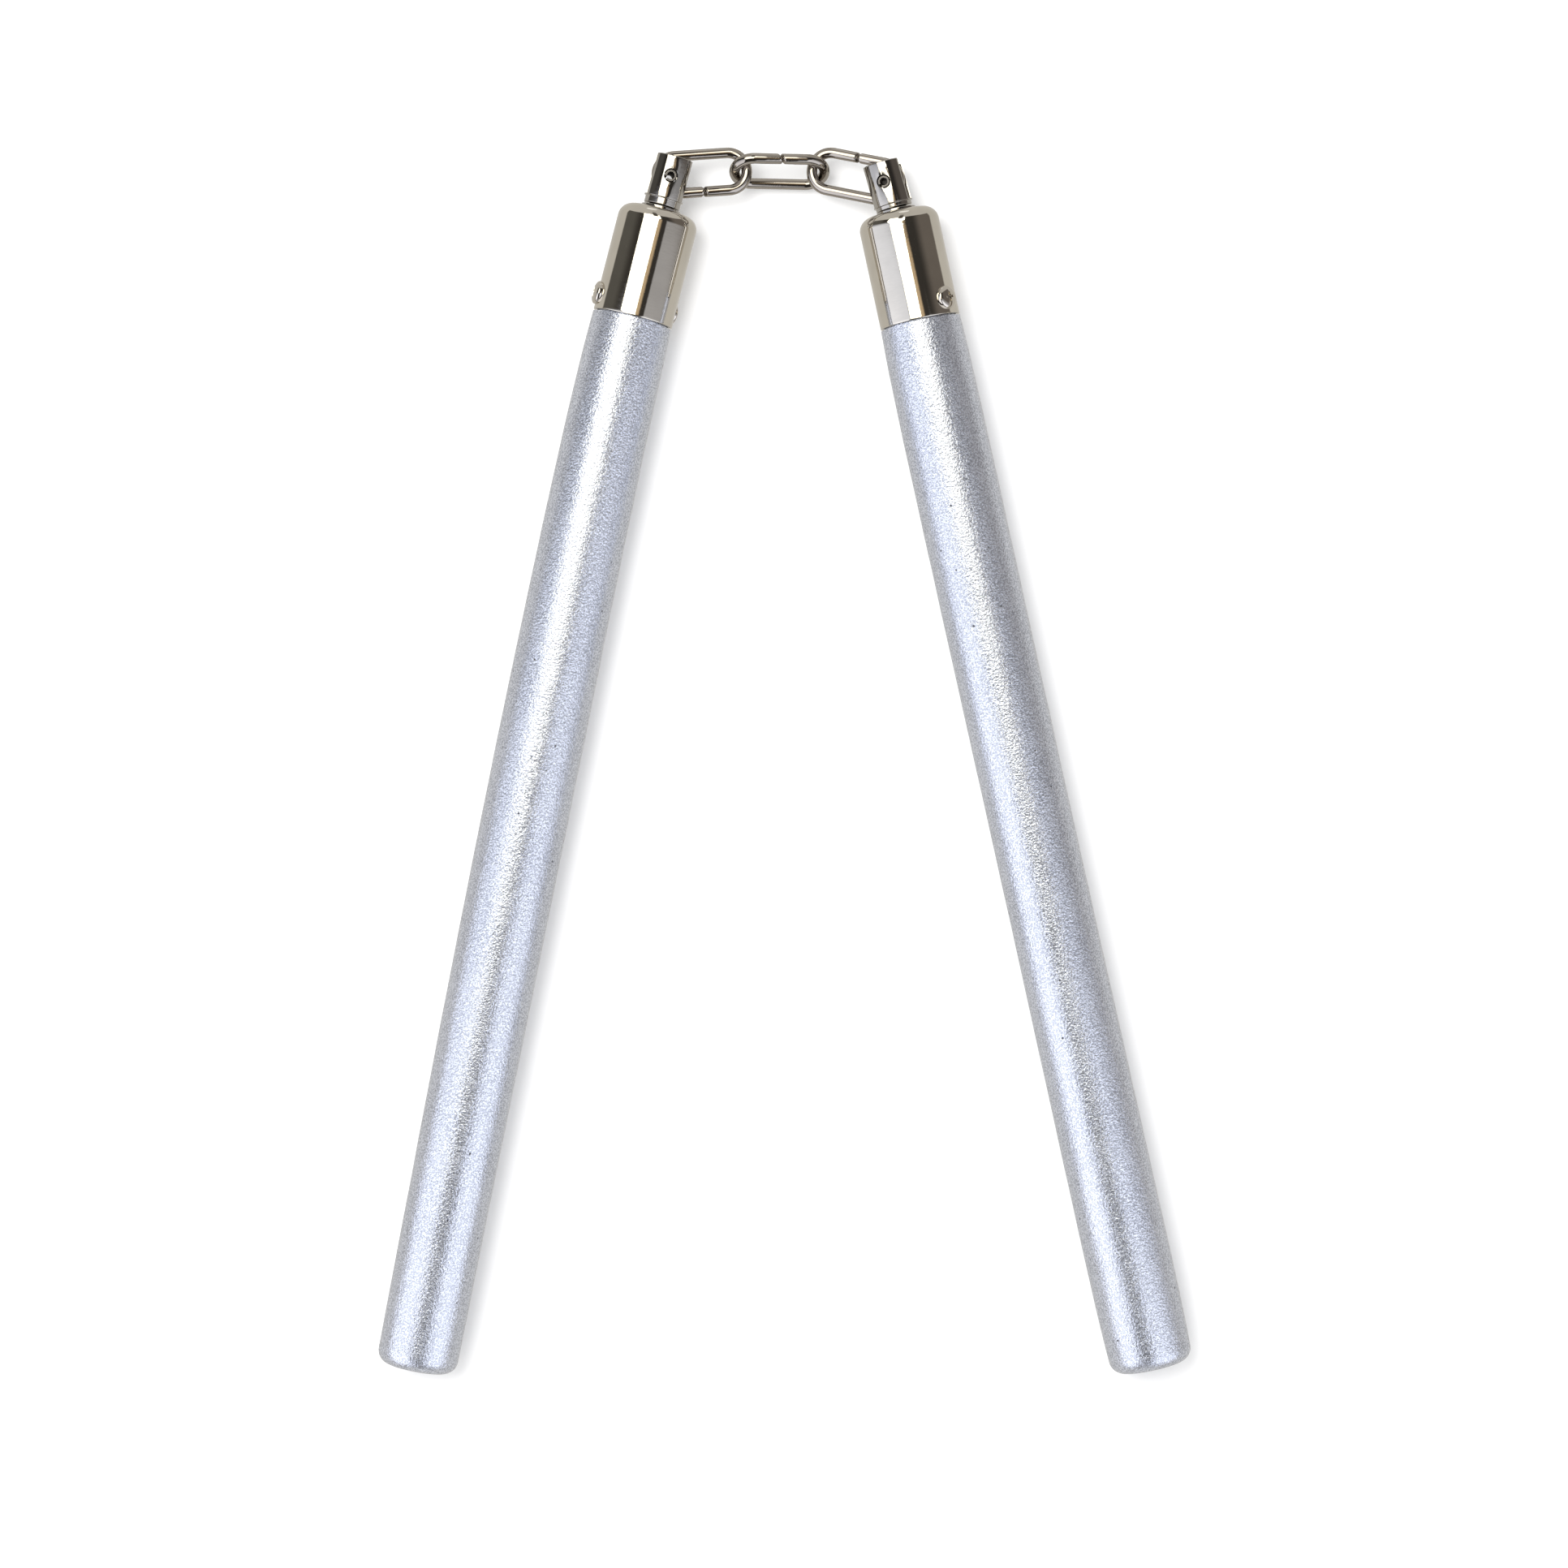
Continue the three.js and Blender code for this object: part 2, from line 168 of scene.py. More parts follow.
class Shader:
    """A short way to write a node tree. What makes a texture or a sum returns its output socket."""

    def __init__(self, tree):
        self.tree = tree
        tree.nodes.clear()

    def node(self, kind, **settings):
        made = self.tree.nodes.new(kind)
        for key, value in settings.items():
            setattr(made, key, value)
        return made

    def feed(self, socket, value):
        if isinstance(value, bpy.types.NodeSocket):
            self.tree.links.new(value, socket)
        elif isinstance(value, tuple) and len(value) == 3 and socket.type == "RGBA":
            socket.default_value = (*value, 1)
        else:
            socket.default_value = value

    def math(self, operation, first, second=0.0):
        made = self.node("ShaderNodeMath", operation=operation)
        self.feed(made.inputs[0], first)
        self.feed(made.inputs[1], second)
        return made.outputs[0]

    def step(self, value, low, high, out_low=0.0, out_high=1.0):
        """A soft step from one value to another as the input goes from low to high."""
        made = self.node("ShaderNodeMapRange", interpolation_type="SMOOTHSTEP")
        for socket, number in zip(made.inputs, (value, low, high, out_low, out_high)):
            self.feed(socket, number)
        return made.outputs[0]

    def mix(self, share, first, second):
        """A mix of two colours. The mix node has one set of sockets for each data type."""
        made = self.node("ShaderNodeMix", data_type="RGBA")
        self.feed(made.inputs["Factor"], share)
        self.feed(made.inputs[COLOR_A], first)
        self.feed(made.inputs[COLOR_B], second)
        return made.outputs[COLOR_RESULT]

    def noise(self, vector, scale, detail=2.0, roughness=0.5):
        made = self.node("ShaderNodeTexNoise")
        self.feed(made.inputs["Vector"], vector)
        self.feed(made.inputs["Scale"], scale)
        self.feed(made.inputs["Detail"], detail)
        self.feed(made.inputs["Roughness"], roughness)
        return made.outputs["Fac"]

    def place(self):
        return self.node("ShaderNodeTexCoord").outputs["Object"]

    def own_place(self):
        """The point in the piece's own frame, as finish_piece stored it, in metres."""
        return self.node("ShaderNodeAttribute", attribute_name=OWN_PLACE).outputs["Vector"]

    def split(self, vector):
        made = self.node("ShaderNodeSeparateXYZ")
        self.feed(made.inputs[0], vector)
        return made.outputs

    def join(self, x, y, z):
        made = self.node("ShaderNodeCombineXYZ")
        for socket, value in zip(made.inputs, (x, y, z)):
            self.feed(socket, value)
        return made.outputs[0]

    def stretched(self, vector, x, y, z):
        made = self.node("ShaderNodeVectorMath", operation="MULTIPLY")
        self.feed(made.inputs[0], vector)
        made.inputs[1].default_value = (x, y, z)
        return made.outputs[0]

    def bump(self, height, distance):
        made = self.node("ShaderNodeBump")
        made.inputs["Strength"].default_value = 1.0
        made.inputs["Distance"].default_value = distance
        self.feed(made.inputs["Height"], height)
        return made.outputs[0]

    def surface(self, color, roughness, metallic, normal=None):
        made = self.node("ShaderNodeBsdfPrincipled")
        self.feed(made.inputs["Base Color"], color)
        self.feed(made.inputs["Roughness"], roughness)
        self.feed(made.inputs["Metallic"], metallic)
        if normal is not None:
            self.feed(made.inputs["Normal"], normal)
        self.output(made.outputs[0])

    def glow(self, color):
        made = self.node("ShaderNodeEmission")
        self.feed(made.inputs["Color"], color)
        self.output(made.outputs[0])

    def output(self, surface):
        made = self.node("ShaderNodeOutputMaterial")
        self.feed(made.inputs["Surface"], surface)


def new_material(name):
    material = bpy.data.materials.new(name)
    material.use_nodes = True
    return material, Shader(material.node_tree)


# Texture scales are in features to the metre, and reliefs in metres.
PEEL_SCALE = 1500
SWELL_SCALE = 330
SWELL_STRETCH = (1, 0.35, 1)
BLOTCH_SCALE = 60
FLAKE_SCALE = 2300
PIT_SCALE = 260
PIT_PATCH_SCALE = 150
PAINT_RELIEF = 0.00013
SWELL_SHARE = 0.3
FLAKE_SHARE = 0.2
PIT_SHARE = 0.8
PAINT_METALLIC = 0.84
PAINT_DULL = (0.43, 0.455, 0.52)
PAINT_LESS_DULL = (0.48, 0.505, 0.57)
PAINT_FLAKE = (0.76, 0.795, 0.89)
PAINT_PIT = (0.10, 0.10, 0.12)
PAINT_ROUGHNESS = (0.17, 0.23)


def paint_material():
    """Silver lacquer over wood: fine orange peel, drifting gloss and tint, and scattered dark pits."""
    material, shader = new_material("silver_lacquer")
    place = shader.own_place()
    peel = shader.noise(place, PEEL_SCALE, 2, 0.6)
    swell = shader.noise(shader.stretched(place, *SWELL_STRETCH), SWELL_SCALE, 2)
    blotch = shader.noise(place, BLOTCH_SCALE, 3)
    flakes = shader.step(shader.noise(place, FLAKE_SCALE, 1, 0.7), 0.36, 0.64)
    pits = shader.node("ShaderNodeTexVoronoi")
    shader.feed(pits.inputs["Vector"], place)
    shader.feed(pits.inputs["Scale"], PIT_SCALE)
    pit = shader.step(pits.outputs["Distance"], 0.05, 0.1, 1.0, 0.0)
    patch = shader.step(shader.noise(place, PIT_PATCH_SCALE, 1), 0.54, 0.58)
    pit = shader.math("MULTIPLY", pit, patch)
    dull = shader.mix(shader.step(blotch, 0.35, 0.65), PAINT_DULL, PAINT_LESS_DULL)
    tint = shader.mix(flakes, dull, PAINT_FLAKE)
    color = shader.mix(pit, tint, PAINT_PIT)
    roughness = shader.step(blotch, 0.3, 0.7, *PAINT_ROUGHNESS)
    relief = shader.math("ADD", peel, shader.math("MULTIPLY", swell, SWELL_SHARE))
    relief = shader.math("ADD", relief, shader.math("MULTIPLY", flakes, FLAKE_SHARE))
    relief = shader.math("SUBTRACT", relief, shader.math("MULTIPLY", pit, PIT_SHARE))
    shader.surface(color, roughness, PAINT_METALLIC, shader.bump(relief, PAINT_RELIEF))
    return material


GROOVE_SCALE = 1500
GROOVE_RADIUS = 0.003  # at which the angle round the axis is unrolled
WAVINESS_SCALE = 160
WAVINESS_SHARE = 1.5
SCUFF_SCALE = 900
NICKEL_ROUGHNESS = (0.03, 0.09)
NICKEL_SHADE = 0.94


def nickel_material(name, color, marks):
    """Polished nickel plate. marks is how deep the turning or drawing marks round the axis are."""
    material, shader = new_material(name)
    place = shader.own_place()
    x, y, z = shader.split(place)
    round_axis = shader.math("ARCTAN2", z, x)
    unrolled = shader.join(shader.math("MULTIPLY", round_axis, GROOVE_RADIUS), y, 0.0)
    grooves = shader.noise(unrolled, GROOVE_SCALE, 2)
    waves = shader.noise(place, WAVINESS_SCALE, 2)
    scuffs = shader.noise(place, SCUFF_SCALE, 4, 0.7)
    relief = shader.math("ADD", grooves, shader.math("MULTIPLY", waves, WAVINESS_SHARE))
    roughness = shader.step(scuffs, 0.4, 0.75, *NICKEL_ROUGHNESS)
    shaded = tuple(NICKEL_SHADE * value for value in color)
    tint = shader.mix(shader.step(waves, 0.3, 0.7), color, shaded)
    shader.surface(tint, roughness, 1.0, shader.bump(relief, marks))
    return material


GRINDING_SCALE = 900
GRINDING_STRETCH = (1, 4, 1)
GRINDING_RELIEF = 0.00001
STEEL_SHADE = 0.8
STEEL_ROUGHNESS_RANGE = 0.12


def steel_material(name, color, roughness):
    """Plain bearing or spring steel with fine grinding marks. The colour given for the spring pin is
    darkened as painted shade for the inside of its bore.
    """
    material, shader = new_material(name)
    marks = shader.noise(shader.stretched(shader.place(), *GRINDING_STRETCH), GRINDING_SCALE, 3)
    tint = shader.mix(marks, color, tuple(STEEL_SHADE * value for value in color))
    rough = shader.step(marks, 0.3, 0.7, roughness, roughness + STEEL_ROUGHNESS_RANGE)
    shader.surface(tint, rough, 1.0, shader.bump(marks, GRINDING_RELIEF))
    return material


# ---- meshes ----

ON_AXIS = 1e-6
FLAT_CORNER = 155
CORNER_SHARE = 0.45


def turned(profile, segments, closed=False):
    """Vertices and faces of a solid turned about Y, from (radius, height) pairs."""
    vertices = []
    rings = []
    for radius, height in profile:
        count = 1 if radius < ON_AXIS else segments
        rings.append(range(len(vertices), len(vertices) + count))
        for i in range(count):
            angle = 2 * math.pi * i / segments
            vertices.append((radius * math.cos(angle), height, radius * math.sin(angle)))
    faces = []
    for low, high in zip(rings, rings[1:] + rings[:1] if closed else rings[1:]):
        for i in range(segments):
            corners = [low[i % len(low)], low[(i + 1) % segments % len(low)]]
            corners += [high[(i + 1) % segments % len(high)], high[i % len(high)]]
            faces.append(list(dict.fromkeys(corners)))
    return vertices, faces


def eased(points, radius, closed=False, steps=4):
    """An outline with each of its sharp corners rounded to about that radius."""
    outline = []
    for i, point in enumerate(points):
        if not closed and i in (0, len(points) - 1):
            outline.append(point)
            continue
        corner = Vector(point)
        before = Vector(points[i - 1]) - corner
        after = Vector(points[(i + 1) % len(points)]) - corner
        if before.angle(after) > math.radians(FLAT_CORNER):
            outline.append(point)
            continue
        trim = min(radius, CORNER_SHARE * before.length, CORNER_SHARE * after.length)
        start = corner + before.normalized() * trim
        end = corner + after.normalized() * trim
        for k in range(steps + 1):
            t = k / steps
            outline.append(tuple(start * (1 - t) ** 2 + corner * 2 * t * (1 - t) + end * t * t))
    return outline


def arc(centre, radius, start, end, steps):
    """Points of an arc as (radius, height) pairs."""
    points = []
    for i in range(steps + 1):
        angle = math.radians(start + (end - start) * i / steps)
        points.append((centre[0] + radius * math.cos(angle), centre[1] + radius * math.sin(angle)))
    return points


def mesh_object(name, vertices, faces):
    """A mesh object in metres from a mesh in millimetres, with its faces turned outwards."""
    mesh = bpy.data.meshes.new(name)
    mesh.from_pydata([Vector(vertex) * MM for vertex in vertices], [], faces)
    editable = bmesh.new()
    editable.from_mesh(mesh)
    bmesh.ops.recalc_face_normals(editable, faces=editable.faces)
    editable.to_mesh(mesh)
    editable.free()
    made = bpy.data.objects.new(name, mesh)
    bpy.context.scene.collection.objects.link(made)
    return made


def block(name, size, centre):
    """A box to cut with."""
    half = [value / 2 for value in size]
    corners = [(x, y, z) for x in (-1, 1) for y in (-1, 1) for z in (-1, 1)]
    vertices = [[c + s * h for c, s, h in zip(centre, corner, half)] for corner in corners]
    faces = [(0, 1, 3, 2), (4, 6, 7, 5), (0, 4, 5, 1), (2, 3, 7, 6), (0, 2, 6, 4), (1, 5, 7, 3)]
    return mesh_object(name, vertices, faces)


def cut(target, cutters):
    """Cuts the cutters out of the target and removes them."""
    for cutter in cutters:
        boolean = target.modifiers.new("cut", "BOOLEAN")
        boolean.operation = "DIFFERENCE"
        boolean.solver = "EXACT"
        boolean.object = cutter
    apply_modifiers(target)
    for cutter in cutters:
        bpy.data.objects.remove(cutter)


def bevel(target, width, angle=35, segments=3):
    """Breaks the sharp edges."""
    edge = target.modifiers.new("edge", "BEVEL")
    edge.width = width * MM
    edge.segments = segments
    edge.limit_method = "ANGLE"
    edge.angle_limit = math.radians(angle)
    edge.use_clamp_overlap = True
    apply_modifiers(target)


def apply_modifiers(target):
    bpy.context.view_layer.update()
    graph = bpy.context.evaluated_depsgraph_get()
    mesh = bpy.data.meshes.new_from_object(target.evaluated_get(graph))
    target.modifiers.clear()
    old = target.data
    target.data = mesh
    bpy.data.meshes.remove(old)


def smooth(target, angle=30):
    """Smooth shading, with the edges sharper than that angle kept."""
    for polygon in target.data.polygons:
        polygon.use_smooth = True
    target.data.set_sharp_from_angle(angle=math.radians(angle))


def finish_piece(made, node, matrix, body, material, angle=30):
    """Puts a piece in its place, instead of the CAD node it stands for.

    Edges sharper than the angle stay sharp. The points before the move are kept as OWN_PLACE.
    """
    smooth(made, angle)
    mesh = made.data
    mesh.materials.clear()
    mesh.materials.append(material)
    own = mesh.attributes.new(OWN_PLACE, "FLOAT_VECTOR", "POINT")
    for stored, vertex in zip(own.data, mesh.vertices):
        stored.vector = vertex.co
    placed = matrix.copy()
    placed.translation *= MM
    mesh.transform(placed)
    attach(made, body)
    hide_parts(node)


# ---- handles ----

RING_STEP = 1.25
HANDLE_SIDES = 96
GIRTH_STEPS = 40
BOW_STEPS = 400
BUTT_STEPS = 9
BUTT_RINGS = (0.3, 0.55)  # shares of the butt's radius
WAVE_SCALE = 0.22
WAVE_STRETCH = 0.4
WAVE_SHARE = 0.005
EDGE_SCALE = 0.9
EDGE_HEIGHT = 0.22
EDGE_MARGIN = 0.5
RIM_ABOVE = 0.001
RIM_BELOW = 0.1


def spline(points, steps):
    """A smooth curve through the points, with that many points between each pair."""
    ends = [points[0], *points, points[-1]]
    curve = []
    for i in range(len(points) - 1):
        a, b, c, d = (Vector(p) for p in ends[i : i + 4])
        for k in range(steps):
            t = k / steps
            slope_in = (c - a) / 2
            slope_out = (d - b) / 2
            curve.append(
                b * (2 * t**3 - 3 * t**2 + 1)
                + slope_in * (t**3 - 2 * t**2 + t)
                + c * (3 * t**2 - 2 * t**3)
                + slope_out * (t**3 - t**2)
            )
    return [*curve, Vector(points[-1])]


def bowed(drift):
    """A function that moves a point of a straight handle onto the bowed centre line."""
    start, middle, end = Vector((0, 0)), Vector((0, -HANDLE_STRAIGHT)), Vector((drift, -HANDLE_LENGTH))
    line = []
    for i in range(BOW_STEPS + 1):
        t = i / BOW_STEPS
        line.append(start * (1 - t) ** 2 + middle * 2 * t * (1 - t) + end * t * t)
    lengths = [0]
    for a, b in zip(line, line[1:]):
        lengths.append(lengths[-1] + (b - a).length)

    def place(vertex):
        x, y, z = vertex
        if y >= 0:
            return vertex
        wanted = min(-y / HANDLE_LENGTH, 1) * lengths[-1]
        i = min(range(BOW_STEPS), key=lambda k: abs(lengths[k] - wanted))
        ahead = (line[i + 1] - line[i]).normalized()
        centre = line[i] + ahead * (wanted - lengths[i])
        return (centre.x - ahead.y * x, centre.y + ahead.x * x, z)

    return place


def make_handle(name, side, matrix):
    """A turned handle with a faint unevenness, and an uneven edge of paint against the cap."""
    belly = [(diameter / 2, -depth) for depth, diameter in spline(side["girth"], GIRTH_STEPS)]
    rings = int(belly[-1][1] / -RING_STEP)
    picked = [belly[round(i * (len(belly) - 1) / rings)] for i in range(rings + 1)]
    edge = picked[-1][0]
    profile = [(0, -HANDLE_LENGTH)]
    profile += [(share * edge, -HANDLE_LENGTH) for share in BUTT_RINGS]
    profile += arc((edge - BUTT_ROUND, BUTT_ROUND - HANDLE_LENGTH), BUTT_ROUND, -90, 0, BUTT_STEPS)
    profile += picked[:-1][::-1]
    profile += [(TENON_RADIUS, 0), (TENON_RADIUS, TENON_LENGTH), (0, TENON_LENGTH)]
    vertices, faces = turned(profile, HANDLE_SIDES)
    place = bowed(side["drift"])
    shaped = []
    for x, y, z in vertices:
        if y < RIM_ABOVE:
            swell = 1 + WAVE_SHARE * noise.noise(Vector((x, y * WAVE_STRETCH, z)) * WAVE_SCALE)
            x, z = x * swell, z * swell
        if -RIM_BELOW < y < RIM_ABOVE and math.hypot(x, z) > TENON_RADIUS + EDGE_MARGIN:
            y -= EDGE_HEIGHT * (0.5 + 0.5 * noise.noise(Vector((x, 0, z)) * EDGE_SCALE))
        shaped.append(place((x, y, z)))
    made = mesh_object(f"{name}_handle_lacquered", shaped, faces)
    finish_piece(made, f"{name}_handle", matrix, f"{name}_handle", PAINT, angle=50)


# ---- caps and screws ----

FINE = 128
SCREW_SIDES = 64
SHOULDER_STEPS = 14
INNER_SHOULDER_STEPS = 8
DOME_ANGLES = range(10, 90, 8)


def make_cap(name, matrix):
    """A drawn cup: rim, flank, round shoulder, the hole for the shaft, and the same inside."""
    inner = CAP_RADIUS - CAP_WALL
    inner_top = CAP_LENGTH - CAP_TOP_WALL
    inner_shoulder = CAP_SHOULDER - CAP_WALL
    hole = SHAFT_RADIUS + SHAFT_CLEARANCE
    rim = [(inner, CAP_FLANK_START), (inner, GAP), (CAP_RADIUS, GAP), (CAP_RADIUS, CAP_RIM_TOP)]
    outer_centre = (CAP_RADIUS - CAP_SHOULDER, CAP_LENGTH - CAP_SHOULDER)
    lip = [(hole + 1, CAP_LENGTH), (hole, CAP_LENGTH), (hole, inner_top), (hole + 1, inner_top)]
    inner_centre = (inner - inner_shoulder, inner_top - inner_shoulder)
    profile = [
        *eased(rim, CAP_RIM_EDGE)[1:],
        (CAP_RADIUS, CAP_FLANK_START),
        *arc(outer_centre, CAP_SHOULDER, 0, 90, SHOULDER_STEPS),
        *eased(lip, CAP_HOLE_EDGE),
        *arc(inner_centre, inner_shoulder, 90, 0, INNER_SHOULDER_STEPS),
    ]
    made = mesh_object(f"{name}_cap_shell", *turned(profile, FINE, closed=True))
    finish_piece(made, f"{name}_cap", matrix, f"{name}_handle", CAP_NICKEL, angle=40)


def make_screw(name, number, angle, matrix):
    """A domed screw with a cross recess, turned about Y with its head at the top."""
    seat = CAP_RADIUS + GAP
    under = CAP_RADIUS - SCREW_SUNK
    rim = seat + SCREW_RIM
    top = seat + SCREW_DOME
    profile = [(0, SCREW_TIP), (SCREW_SHANK_RADIUS, SCREW_TIP + SCREW_CONE)]
    profile += [(SCREW_SHANK_RADIUS, under), (SCREW_HEAD_RADIUS, under), (SCREW_HEAD_RADIUS, rim)]
    for degrees in DOME_ANGLES:
        a = math.radians(degrees)
        profile.append((SCREW_HEAD_RADIUS * math.cos(a), rim + (SCREW_DOME - SCREW_RIM) * math.sin(a)))
    profile.append((0, top))
    made = mesh_object(f"{name}_cap_screw_{number}_head", *turned(profile, SCREW_SIDES))
    sizes = [(RECESS_SPAN, RECESS_CUT, RECESS_WIDTH), (RECESS_WIDTH, RECESS_CUT, RECESS_SPAN)]
    cut(made, [block("recess", size, (0, top, 0)) for size in sizes])
    bevel(made, SCREW_EDGE, segments=2)
    place = matrix @ move(0, SCREW_HEIGHT) @ turn(angle, "Y") @ turn(90, "X")
    node = f"{name}_cap_screw_{number}"
    finish_piece(made, node, place, f"{name}_handle", SCREW_NICKEL)


# ---- swivel ----

BORE_SIDES = 48
BORE_REACH = 8
SLOT_REACH = 30
PIN_STEPS = 40
PIN_EDGE_ANGLE = 50


def make_washer(name, matrix):
    inner = SHAFT_RADIUS + SHAFT_CLEARANCE
    outline = [(inner, WASHER_BOTTOM), (WASHER_RADIUS, WASHER_BOTTOM)]
    outline += [(WASHER_RADIUS, WASHER_TOP), (inner, WASHER_TOP)]
    ring = turned(eased(outline, WASHER_EDGE, True), FINE, closed=True)
    made = mesh_object(f"{name}_yoke_washer_ring", *ring)
    finish_piece(made, f"{name}_yoke_washer", matrix, f"{name}_handle", YOKE_NICKEL)


def make_yoke(name, side, matrix):
    """A yoke in its own frame: origin at the bottom of its slotted body, +Y away from the cap, the pin
    along Z. Both shafts have the length that puts the left one's end at SHAFT_END."""
    shaft_end = SHAFT_END - CAP_LENGTH - SIDES["left"]["lift"]
    neck = WASHER_TOP - CAP_LENGTH - side["lift"] + GAP
    body = [(0, shaft_end), (SHAFT_RADIUS, shaft_end), (SHAFT_RADIUS, neck), (YOKE_NECK_RADIUS, neck)]
    body += [(YOKE_NECK_RADIUS, 0), (YOKE_RADIUS, 0), (YOKE_RADIUS, YOKE_HEIGHT), (0, YOKE_HEIGHT)]
    made = mesh_object(f"{name}_swivel_yoke_turned", *turned(eased(body, YOKE_EDGE), FINE))
    slot = block("slot", (SLOT_REACH, 2 * YOKE_HEIGHT, SLOT_WIDTH), (0, SLOT_FLOOR + YOKE_HEIGHT, 0))
    drill = [(0, -BORE_REACH), (PIN_RADIUS + GAP, -BORE_REACH)]
    drill += [(PIN_RADIUS + GAP, BORE_REACH), (0, BORE_REACH)]
    bore = mesh_object("bore", *turned(drill, BORE_SIDES))
    bore.data.transform(move(0, PIN_HEIGHT * MM) @ turn(90, "X"))
    cut(made, [slot, bore])
    bevel(made, YOKE_CUT_EDGE)
    finish_piece(made, f"{name}_swivel_yoke", matrix, f"{name}_yoke", YOKE_NICKEL)


def make_pin(name, matrix):
    """A rolled spring pin: a C-shaped section with a slit along its length."""
    opening = math.asin(PIN_SLIT / 2 / PIN_BORE)
    start = math.radians(PIN_SLIT_ANGLE) + opening
    sweep = 2 * (math.pi - opening)
    angles = [start + sweep * i / PIN_STEPS for i in range(PIN_STEPS + 1)]
    outer = [(PIN_RADIUS * math.cos(a), PIN_RADIUS * math.sin(a)) for a in angles]
    bore = [(PIN_BORE * math.cos(a), PIN_BORE * math.sin(a)) for a in angles]
    count = PIN_STEPS + 1
    vertices = []
    for z in (-PIN_LENGTH / 2, PIN_LENGTH / 2):
        vertices += [(x, y, z) for x, y in outer + bore]
    faces = []
    for i in range(PIN_STEPS):
        o, b, far = i, i + count, 2 * count
        faces.append((o, o + 1, b + 1, b))
        faces.append((o + far, o + 1 + far, b + 1 + far, b + far))
        faces.append((o, o + 1, o + 1 + far, o + far))
        faces.append((b, b + 1, b + 1 + far, b + far))
    for i in (0, PIN_STEPS):
        faces.append((i, i + count, i + 3 * count, i + 2 * count))
    made = mesh_object(f"{name}_yoke_pin_rolled", vertices, faces)
    bevel(made, PIN_EDGE, PIN_EDGE_ANGLE)
    place = matrix @ move(0, PIN_HEIGHT)
    finish_piece(made, f"{name}_yoke_pin", place, f"{name}_yoke", PIN_STEEL_WITH_PAINTED_SHADE)


# ---- chain ----

WIRE_SIDES = 28
ARM_STEPS = 26
BEND_STEPS = 30
ARM_CROWDING = 1.6  # more than 1 sets the rings closer together towards the seam
SEAM_CHAMFER = 0.55
SEAM_CURVE = 1.5
SEAM_NECK = 0.04
SEAM_NECK_LENGTH = 4
SEAM_SLANT = 25
SEAM_SLANT_LENGTH = 3


def link_line():
    """(point, direction) along the wire, from the seam in the middle of one arm round to it again."""
    half = LINK_STRAIGHT / 2
    line = []
    for i in range(ARM_STEPS + 1):
        x = LINK_SEAM / 2 + (half - LINK_SEAM / 2) * (i / ARM_STEPS) ** ARM_CROWDING
        line.append((Vector((x, -LINK_BEND, 0)), Vector((1, 0, 0))))
    for i in range(1, BEND_STEPS):
        angle = math.pi * i / BEND_STEPS
        point = Vector((half + LINK_BEND * math.sin(angle), -LINK_BEND * math.cos(angle), 0))
        line.append((point, Vector((math.cos(angle), math.sin(angle), 0))))
    line.append((Vector((half, LINK_BEND, 0)), Vector((-1, 0, 0))))
    line.append((Vector((0, LINK_BEND, 0)), Vector((-1, 0, 0))))
    back = []
    for point, direction in line[-2::-1]:
        back.append((Vector((-point.x, point.y, 0)), Vector((direction.x, -direction.y, 0))))
    return line + back


def make_link(name, matrix, body, seam_side):
    """Bent wire with a butt seam, whose ends are chamfered and cut a little aslant."""
    line = link_line()
    travelled = [0]
    for (a, _), (b, _) in zip(line, line[1:]):
        travelled.append(travelled[-1] + (b - a).length)
    vertices = []
    for i, (point, direction) in enumerate(line):
        from_end = min(travelled[i], travelled[-1] - travelled[i])
        taper = max(0, 1 - from_end / SEAM_CHAMFER)
        radius = WIRE_RADIUS - SEAM_CHAMFER * taper**SEAM_CURVE
        radius -= SEAM_NECK * max(0, 1 - from_end / SEAM_NECK_LENGTH)
        shear = math.tan(math.radians(SEAM_SLANT)) * max(0, 1 - from_end / SEAM_SLANT_LENGTH)
        side = Vector((-direction.y, direction.x, 0))
        for k in range(WIRE_SIDES):
            angle = 2 * math.pi * k / WIRE_SIDES
            across, up = radius * math.cos(angle), radius * math.sin(angle)
            vertex = point + side * across + Vector((0, 0, up)) + Vector((1, 0, 0)) * up * shear
            vertices.append((vertex.x, -seam_side * vertex.y, vertex.z))
    rings = len(line)
    faces = [tuple(range(WIRE_SIDES)), tuple(range((rings - 1) * WIRE_SIDES, rings * WIRE_SIDES))]
    for i in range(rings - 1):
        for k in range(WIRE_SIDES):
            a, b = i * WIRE_SIDES + k, i * WIRE_SIDES + (k + 1) % WIRE_SIDES
            faces.append((a, b, b + WIRE_SIDES, a + WIRE_SIDES))
    made = mesh_object(f"{name}_wire", vertices, faces)
    finish_piece(made, name, matrix, body, LINK_NICKEL, angle=40)


# ---- assembly ----


def centre_of(*nodes):
    """The middle of the CAD nodes' boxes, in millimetres."""
    total = Vector((0, 0, 0))
    for node in nodes:
        low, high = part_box(node)
        total += (low + high) / 2
    return total / len(nodes) / MM


